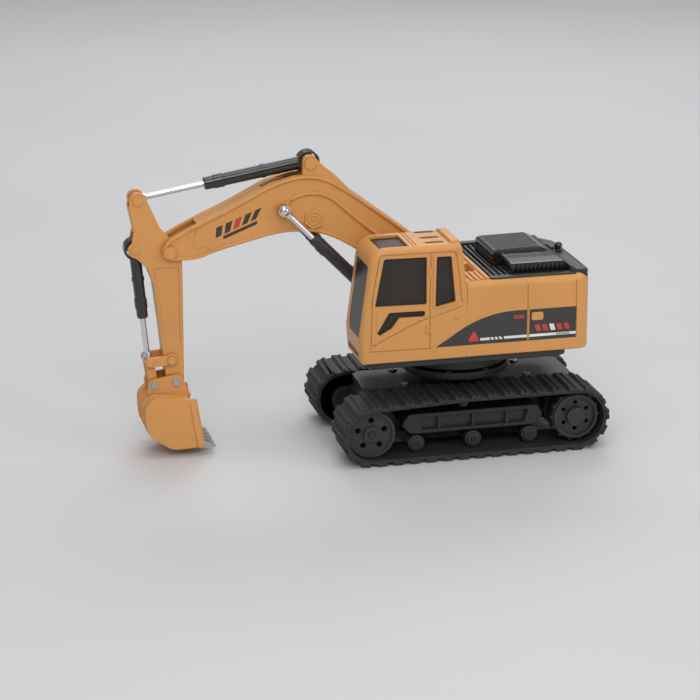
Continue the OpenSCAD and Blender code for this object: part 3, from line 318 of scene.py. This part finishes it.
def wrap():
    """Glossy blue film round the battery cells."""
    s = Shade("cell_wrap", (0.02, 0.07, 0.30), Coat_Weight=0.7, Coat_Roughness=0.1)
    c = s.mix(s.fit(s.noise(40, 3), 0.3, 0.7), (0.016, 0.06, 0.26), (0.03, 0.09, 0.36))
    return s.close(c, s.fit(s.noise(200, 2), 0.3, 0.7, 0.25, 0.4), s.bump(s.noise(300, 3), 2e-5))


def lamp():
    """Pale ribbed lamp plastic."""
    s = Shade("lamp", (0.70, 0.70, 0.66), Specular_IOR_Level=0.6, Coat_Weight=0.8, Coat_Roughness=0.05)
    w = s.node("TexWave", wave_type="BANDS", bands_direction="Y")
    s.join(s.at, w.inputs["Vector"])
    w.inputs["Scale"].default_value = 260
    c = s.mix(w.outputs["Fac"], (0.55, 0.55, 0.52), (0.80, 0.80, 0.76))
    return s.close(c, s.fit(s.noise(150, 2), 0.3, 0.7, 0.15, 0.25), s.bump(w.outputs["Fac"], 8e-5))


def printed(name, base, rough=0.34):
    """Screen-printed film: slight ink mottling and a faint orange peel."""
    s = Shade(name, base, Specular_IOR_Level=0.5, Coat_Weight=0.25, Coat_Roughness=0.2)
    c = s.mix(s.fit(s.noise(70, 4), 0.3, 0.7), tint(base, 0.88), tint(base, 1.14))
    speck = s.fit(s.noise(2600, 2), 0.66, 0.74)
    c = s.mix(s.math("MULTIPLY", speck, 0.25), c, tuple(v * 0.6 + 0.12 for v in base))
    r = s.fit(s.noise(300, 3), 0.3, 0.7, rough - 0.06, rough + 0.08)
    return s.close(c, r, s.bump(s.noise(900, 2), 4e-6))


M["board"], M["wrap"], M["lamp"] = board(), wrap(), lamp()
M["ink"] = printed("ink_black", (0.034, 0.030, 0.028))
M["ink_white"] = printed("ink_white", (0.80, 0.79, 0.77))
M["ink_red"] = printed("ink_red", (0.55, 0.045, 0.035))

# ---------------------------------------------------------------- floor
floor_mesh = bpy.data.meshes.new("floor")
fb = bmesh.new()
bmesh.ops.create_grid(fb, x_segments=8, y_segments=8, size=6)
fb.to_mesh(floor_mesh)
fb.free()
floor = bpy.data.objects.new("floor", floor_mesh)
scene.collection.objects.link(floor)
fs = Shade("floor_paint", (0.61, 0.61, 0.61))
fc = fs.mix(fs.fit(fs.noise(3, 3), 0.3, 0.7), (0.60, 0.60, 0.605), (0.63, 0.63, 0.63))
floor_mesh.materials.append(fs.close(fc, 0.7))

# ---------------------------------------------------------------- CAD nodes: materials and softened edges
LOOK = {
    "chassis_base": "black", "turntable_seat": "black", "battery_pack": "wrap", "battery_door": "black",
    "base_screws": "steel", "drive_motor_left": "steel", "drive_motor_right": "steel",
    "side_frame_left": "black", "side_frame_right": "black", "track_left": "rubber", "track_right": "rubber",
    "sprocket_left": "dark", "sprocket_right": "dark", "idler_left": "dark", "idler_right": "dark",
    "power_switch": "dark", "house_shell": "yellow", "house_pan": "dark", "engine_deck": "dark",
    "engine_hood": "gloss", "exhaust": "gloss", "arm_bracket": "yellow", "slew_motor": "steel",
    "main_board": "board", "house_screws": "steel", "cab_shell": "yellow", "cab_liner": "smoked",
    "front_lamp": "lamp", "boom_left": "yellow", "boom_right": "yellow", "boom_pins": "yellow",
    "boom_screws": "steel", "boom_barrel_left": "dark", "boom_barrel_right": "dark",
    "boom_rod_left": "chrome", "boom_rod_right": "chrome", "stick": "yellow", "stick_pins": "yellow",
    "stick_barrel": "gloss", "stick_rod": "chrome", "bucket_barrel": "gloss", "bucket_rod": "chrome",
    "rocker": "yellow", "link": "yellow", "bucket": "yellow", "bucket_teeth": "steel",
    "linkage_pins": "steel",
}
# widths of the softened edges that aren't BEVEL_USUAL, in mm
BEVEL_USUAL = 0.12
BEVEL = {"cab_shell": 0.10, "track_left": 0.15, "track_right": 0.15, "bucket": 0.15, "stick": 0.18,
         "house_pan": 0.3, "turntable_seat": 0.3, "chassis_base": 0.3}


def finish_node(name, o):
    """Gives a CAD node its material and softens its edges with modifiers."""
    look = LOOK.get(name) or ("dark" if name.startswith("roller") else "black")
    o.data.materials.clear()
    o.data.materials.append(M[look])
    for p in o.data.polygons:
        p.material_index = 0
    weld = o.modifiers.new("weld", "WELD")
    weld.merge_threshold = 2e-6
    flat = o.modifiers.new("flat", "DECIMATE")
    flat.decimate_type = "DISSOLVE"
    flat.angle_limit = math.radians(0.6)
    bevel = o.modifiers.new("bevel", "BEVEL")
    bevel.limit_method = "ANGLE"
    bevel.angle_limit = math.radians(38)
    bevel.width = BEVEL.get(name, BEVEL_USUAL) * MM
    bevel.segments = 2
    bevel.use_clamp_overlap = False
    bevel.miter_outer = "MITER_ARC"
    bevel.harden_normals = False
    normals = o.modifiers.new("normals", "WEIGHTED_NORMAL")
    normals.keep_sharp = True
    normals.weight = 80


for name, o in nodes.items():
    finish_node(name, o)


# ---------------------------------------------------------------- detail pieces
def piece(name, bm, look, body, smooth=False, bevel=0.0):
    """Turns bm into a named piece that rides on body."""
    bmesh.ops.recalc_face_normals(bm, faces=bm.faces)
    me = bpy.data.meshes.new(name)
    bm.to_mesh(me)
    bm.free()
    o = bpy.data.objects.new(name, me)
    scene.collection.objects.link(o)
    me.materials.append(M[look])
    if bevel:
        b = o.modifiers.new("bevel", "BEVEL")
        b.width = bevel
        b.segments = 2
        b.limit_method = "ANGLE"
    if smooth:
        for p in me.polygons:
            p.use_smooth = True
    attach(o, body)


def wall_between(bm, front, rear):
    """Closes the gap between two rings with a face for each pair of points."""
    for i in range(len(front)):
        j = (i + 1) % len(front)
        bm.faces.new((front[i], rear[i], rear[j], front[j]))


def house_side_y(x):
    """Half width of the house's side at x, round its rear corner."""
    edge = REAR + CORNER
    return SIDE if x > edge else SIDE - CORNER + math.sqrt(max(0.0, CORNER ** 2 - (edge - x) ** 2))


def side_patch(bm, sgn, xs, low, high, lift, rows=3, thick=0.12):
    """Closed thin sheet on the house's side between the lines low(x) and high(x), both in mm."""
    front, back = [], []
    for x in xs:
        y = house_side_y(x)
        cf, cb = [], []
        for j in range(rows + 1):
            z = low(x) + (high(x) - low(x)) * j / rows
            cf.append(bm.verts.new(P(x, sgn * (y + lift), z)))
            cb.append(bm.verts.new(P(x, sgn * (y + lift - thick), z)))
        front.append(cf)
        back.append(cb)
    n = len(xs)
    for i in range(n - 1):
        for j in range(rows):
            bm.faces.new((front[i][j], front[i + 1][j], front[i + 1][j + 1], front[i][j + 1]))
            bm.faces.new((back[i][j], back[i][j + 1], back[i + 1][j + 1], back[i + 1][j]))
        bm.faces.new((front[i][0], back[i][0], back[i + 1][0], front[i + 1][0]))
        bm.faces.new((front[i][rows], front[i + 1][rows], back[i + 1][rows], back[i][rows]))
    for i in (0, n - 1):
        for j in range(rows):
            bm.faces.new((front[i][j], front[i][j + 1], back[i][j + 1], back[i][j]))


def curve_at(points):
    """Function that gives z at x along straight stretches between points."""
    pts = sorted(points)

    def at(x):
        if x <= pts[0][0]:
            return pts[0][1]
        for (x0, z0), (x1, z1) in zip(pts, pts[1:]):
            if x <= x1:
                t = (x - x0) / (x1 - x0)
                return z0 + (z1 - z0) * t
        return pts[-1][1]

    return at


def span(a, b, step):
    """Evenly spaced values from a to b, about step apart."""
    n = max(1, round(abs(b - a) / step))
    return [a + (b - a) * i / n for i in range(n + 1)]


# printed field with a curved front and a light line, on both sides of the house
top_line = curve_at([(20.7, 59.05), (17.3, 61.3), (13.4, 63.6), (9.6, 66.2), (5.6, 68.6), (1.8, 70.5),
                     (-2.2, 72.1), (-6.0, 73.3), (-10.0, 74.3), (-13.9, 74.95), (-17.9, 75.3),
                     (-22, 75.4), (-26.8, 75.4)])
for sgn, tag, shift in ((1, "left", 0.0), (-1, "right", RIGHT_SHIFT)):
    bm = bmesh.new()
    side_patch(bm, sgn, span(-53.0, -28.3, 1.1), lambda x: STRIPE_LOW, lambda x: STRIPE_TOP, 0.07)
    side_patch(bm, sgn, span(-27.0, 20.6 - shift, 1.1), lambda x: STRIPE_LOW,
               lambda x: min(STRIPE_TOP, top_line(x + shift)), 0.07)
    piece("side_stripe_" + tag, bm, "ink", "house")
    bm = bmesh.new()
    for a, b in ((-53.0, -28.3), (-27.0, -14.9), (-7.4, -2.4)):
        side_patch(bm, sgn, span(a, b, 1.2), lambda x: LINE_LOW, lambda x: LINE_TOP, 0.11, rows=1)
    piece("side_line_" + tag, bm, "ink_white", "house")


def prism(bm, outline, y, way, lift, sunk=0.02):
    """Thin closed plate with the outline (x, z), lift proud of the plane y on the side way."""
    f = [bm.verts.new(P(x, y + way * lift, z)) for x, z in outline]
    g = [bm.verts.new(P(x, y - way * sunk, z)) for x, z in outline]
    bm.faces.new(f)
    bm.faces.new(g[::-1])
    wall_between(bm, f, g)


def slanted(x, width, lean, z0, z1):
    """Parallelogram from x to x + width at z0 that leans forward by lean at z1."""
    return [(x, z0), (x + width, z0), (x + width + lean, z1), (x + lean, z1)]


def smooth_line(points, n=4):
    """Catmull-Rom curve through points, with n steps between each two."""
    out = []
    for i in range(len(points) - 1):
        a, b, c, d = (Vector(points[k]) for k in (max(0, i - 1), i, i + 1, min(len(points) - 1, i + 2)))
        for j in range(n):
            t = j / n
            out.append(0.5 * (2 * b + (c - a) * t + (2 * a - 5 * b + 4 * c - d) * t * t
                              + (3 * b - a - 3 * c + d) * t ** 3))
    return out + [Vector(points[-1])]


def bead(bm, line, y, way, half, tall, sunk=0.06, steps=7, taper=1.6):
    """Half-round bead along a line (x, z) on the plane y; both ends run down into the surface."""
    runs = [0.0]
    for a, b in zip(line, line[1:]):
        runs.append(runs[-1] + (b - a).length)
    rings = []
    for i, p in enumerate(line):
        a, b = line[max(0, i - 1)], line[min(len(line) - 1, i + 1)]
        u = (b - a).normalized()
        n = Vector((-u.y, u.x))
        k = min(1.0, 0.25 + runs[i] / taper, 0.25 + (runs[-1] - runs[i]) / taper)
        cut = [(half * k, -sunk)]
        for j in range(steps + 1):
            w = math.pi * j / steps
            cut.append((half * k * math.cos(w), tall * k * math.sin(w)))
        cut.append((-half * k, -sunk))
        rings.append([bm.verts.new(P(p.x + n.x * c, y + way * h, p.y + n.y * c)) for c, h in cut])
    m = len(rings[0])
    for r0, r1 in zip(rings, rings[1:]):
        for j in range(m):
            bm.faces.new((r0[j], r0[(j + 1) % m], r1[(j + 1) % m], r1[j]))
    bm.faces.new(rings[0])
    bm.faces.new(rings[-1][::-1])


def pill(x0, x1, z0, z1, r, n=4):
    """Rounded rectangle outline."""
    out = []
    corners = ((x1 - r, z0 + r, -90), (x1 - r, z1 - r, 0), (x0 + r, z1 - r, 90), (x0 + r, z0 + r, 180))
    for cx, cz, a in corners:
        for i in range(n + 1):
            w = math.radians(a + 90 * i / n)
            out.append((cx + r * math.cos(w), cz + r * math.sin(w)))
    return out


# printed marks on the house: plain bars and a triangle, no lettering
for sgn, tag, shift in ((1, "left", 0.0), (-1, "right", RIGHT_SHIFT)):
    wall = sgn * SIDE
    bm = bmesh.new()
    for k in range(3):
        prism(bm, slanted(-14.1 + k * 2.2, 1.35, 0.65, LINE_LOW, LINE_TOP), wall, sgn, 0.11)
    prism(bm, slanted(-42.2, 2.5, 1.1, MARK_LOW, MARK_TOP), wall, sgn, 0.12)
    piece("side_dashes_" + tag, bm, "ink_white", "house")
    bm = bmesh.new()
    for k in (0, 1, 3, 4):
        prism(bm, slanted(-49.8 + k * 3.8, 2.5, 1.1, MARK_LOW, MARK_TOP), wall, sgn, 0.12)
    for k in range(4):
        prism(bm, slanted(-25.3 + k * 1.4, 0.85, 0, 70.95, 72.95), wall, sgn, 0.12)
    tri = [(-1.6, 60.75), (3.6, 60.75), (3.9, 61.2), (1.25, 65.95), (0.65, 65.95), (-1.95, 61.2)]
    prism(bm, [(x - shift * 0.35, z) for x, z in tri], wall, sgn, 0.12)
    piece("side_marks_" + tag, bm, "ink_red", "house")
    bm = bmesh.new()
    for k in range(6):
        prism(bm, slanted(-49.3 + k * 1.15, 0.7, 0, 61.15, 62.0), wall, sgn, 0.14)
    piece("side_ticks_" + tag, bm, "ink", "house")

# the cab's side: two hinges and the moulded creases
bm = bmesh.new()
prism(bm, pill(23.05, 24.5, 96.1, 100.4, 0.4), SIDE, 1, 0.32)
prism(bm, pill(23.3, 24.2, 66.4, 70.3, 0.35), SIDE, 1, 0.26)
piece("cab_hinges", bm, "yellow", "house", bevel=0.00014)
bm = bmesh.new()
bead(bm, smooth_line([(53.6, 62.3), (47.2, 65.6), (39.5, 69.3), (31.8, 72.9), (25.2, 75.2)]),
     SIDE, 1, 0.42, 0.13)
bead(bm, smooth_line([(51.6, 80.4), (51.7, 74.0), (51.4, 68.2)]), SIDE, 1, 0.30, 0.10)
piece("cab_creases", bm, "yellow", "house", smooth=True)


def corner_round(points, n=4):
    """Outline through corners (a, b, radius), each rounded with a quadratic curve."""
    out = []
    for i, (a, b, r) in enumerate(points):
        c = Vector((a, b))
        u = (Vector(points[i - 1][:2]) - c).normalized() * r
        v = (Vector(points[(i + 1) % len(points)][:2]) - c).normalized() * r
        for j in range(n + 1):
            t = j / n
            out.append(c + u * (1 - t) ** 2 + v * t ** 2)
    return out


def front_x(z):
    """x of the cab's front face at height z."""
    (x0, z0), (x1, z1) = CAB_FRONT_LOW, CAB_FRONT_TOP
    return x0 - (z - z0) * (x0 - x1) / (z1 - z0)


def pane(name, outline, front, rear):
    """Closed sheet with the outline (y, z) between the lines x = front(z) and x = rear(z)."""
    bm = bmesh.new()
    f = [bm.verts.new(P(front(z), y, z)) for y, z in outline]
    g = [bm.verts.new(P(rear(z), y, z)) for y, z in outline]
    bm.faces.new(f)
    bm.faces.new(g[::-1])
    wall_between(bm, f, g)
    piece(name, bm, "pane", "house")


# windscreen pane, and a dark pane as painted shade in the lamp slot, set just behind the cab's front face
screen = [(17.4, 66.05, 1.6), (36.55, 66.05, 0.8), (36.55, 102.5, 1.2), (12.7, 102.5, 1.2), (14.45, 86, 5),
          (14.45, 70, 1.6)]
pane("windscreen", corner_round(screen), lambda z: front_x(z) - 0.22, lambda z: front_x(z) - 0.9)
# painted shade: a dark smoked pane fills the lamp slot so that its lower wall reads as shade
lens = [(11.06, 54.66, 0.8), (33.54, 54.66, 0.8), (33.54, 57.54, 0.8), (11.06, 57.54, 0.8)]
pane("lamp_slot_shade", corner_round(lens), lambda z: LAMP_LOW[0] + (z - LAMP_LOW[1]) * LAMP_SLOPE, lambda z: 57.95)

# ribs of the deck between its short ones, in front of the hood
bm = bmesh.new()
for x, half in ((-14.0, 0.65), (-16.1, 0.42)):
    section = [(x + a, DECK_RIB_Z + h) for a, h in ((-half, 0), (-half, 1.05), (-half + 0.18, 1.25),
                                                    (half - 0.18, 1.25), (half, 1.05), (half, 0))]
    ends = [[bm.verts.new(P(u, y, v)) for u, v in section] for y in (-22.95, 10.95)]
    wall_between(bm, *ends)
    bm.faces.new(ends[0])
    bm.faces.new(ends[1][::-1])
piece("deck_ribs", bm, "dark", "house")

# cover over the joint between the cab and the house
bm = bmesh.new()
prism(bm, [(4.1, 53.6), (5.0, 53.6), (5.0, 79.6), (4.1, 79.6)], SIDE, 1, 0.02, 0.3)
piece("cab_joint_cover", bm, "yellow", "house")

# domed caps on the pins of the lift cylinders' rod eyes
for sgn, tag in ((1, "left"), (-1, "right")):
    bm = bmesh.new()
    rings = []
    profile = ((1.3, 13.8), (2.2, 13.8), (2.4, 13.95), (2.35, 14.3), (2.1, 14.7), (1.6, 15.05), (0.9, 15.28))
    for r, y in profile:
        angles = [2 * math.pi * k / CAP_SIDES for k in range(CAP_SIDES)]
        rings.append([bm.verts.new(P(ROD_PIN[0] + r * math.cos(w), ARM_Y + sgn * y,
                                     ROD_PIN[1] + r * math.sin(w))) for w in angles])
    for r0, r1 in zip(rings, rings[1:]):
        wall_between(bm, r0, r1)
    bm.faces.new(rings[0])
    bm.faces.new(rings[-1])
    piece("pin_cap_" + tag, bm, "chrome", "boom", smooth=True)

# rounded beads on the boom's rim and ridge, the line round the fork, and plain bars on its side
BOOM_TOP = [(138.5, 117.3), (130.1, 121.1), (117.3, 126.7), (107, 131.8), (96.7, 136.8), (88.5, 139.5),
            (81.2, 140.8), (76.2, 140.8), (71.2, 139.9), (66.2, 138.1), (60.6, 134.9), (55.0, 131.4),
            (45.1, 124.0), (34.5, 116.0), (24.1, 108.0), (12.0, 98.0)]
BOOM_LOW = [(17.6, 76.9), (28, 84.6), (40, 94.3), (53, 103.4), (58.2, 106.6), (63.4, 109.5), (68.6, 111.7),
            (75.4, 113.5), (81.6, 114.1), (89.3, 114.1), (97, 113.1), (107.4, 110.7), (117.7, 108.2),
            (126.5, 105.9)]
RIDGE = [(86.6, 129.6), (83.6, 131), (79, 132.3), (74.4, 132.5), (69.8, 131.7), (65.2, 129.6), (60.5, 125.8),
         (55.9, 121.6), (51.3, 117.6), (46.6, 113.5), (41.9, 109.7), (35, 104), (28.6, 98.6)]
FORK = [(132.6, 120.0), (134.1, 117.6), (135.4, 113.2), (136.1, 109.4), (133.3, 107.6), (131.0, 108.6),
        (127.1, 105.9)]
BARS_LOW = Vector((125.0, 112.3)), Vector((102.6, 121.6))  # line under the bars, front to rear
BARS_TOP = Vector((124.6, 117.6)), Vector((99.6, 127.3))
for sgn, tag in ((1, "left"), (-1, "right")):
    rim = ARM_Y + sgn * BOOM_HALF
    for name, line, half, tall in (("rim_top", BOOM_TOP, 0.62, 0.28), ("rim_low", BOOM_LOW, 0.55, 0.24),
                                   ("ridge", RIDGE, 0.75, 0.28)):
        bm = bmesh.new()
        bead(bm, smooth_line(line), rim, sgn, half, tall)
        piece("boom_%s_%s" % (name, tag), bm, "yellow", "boom", smooth=True)
    flat = rim - sgn * PANEL_SUNK
    bm = bmesh.new()
    bead(bm, smooth_line(FORK, 3), flat, sgn, 0.30, 0.17)
    piece("boom_fork_line_" + tag, bm, "yellow", "boom", smooth=True)
    dark, red = bmesh.new(), bmesh.new()
    for k in range(5):
        a, b = (k + 0.06) / 5, (k + 0.72) / 5
        quad = [BARS_LOW[0].lerp(BARS_LOW[1], a), BARS_LOW[0].lerp(BARS_LOW[1], b),
                BARS_TOP[0].lerp(BARS_TOP[1], b), BARS_TOP[0].lerp(BARS_TOP[1], a)]
        prism(red if k == 2 else dark, quad, flat, sgn, 0.07)
    prism(dark, [(120.8, 111.5), (120.8, 113.2), (103.4, 120.1), (103.4, 118.4)], flat, sgn, 0.07)
    piece("boom_bars_" + tag, dark, "ink", "boom")
    piece("boom_bar_red_" + tag, red, "ink_red", "boom")
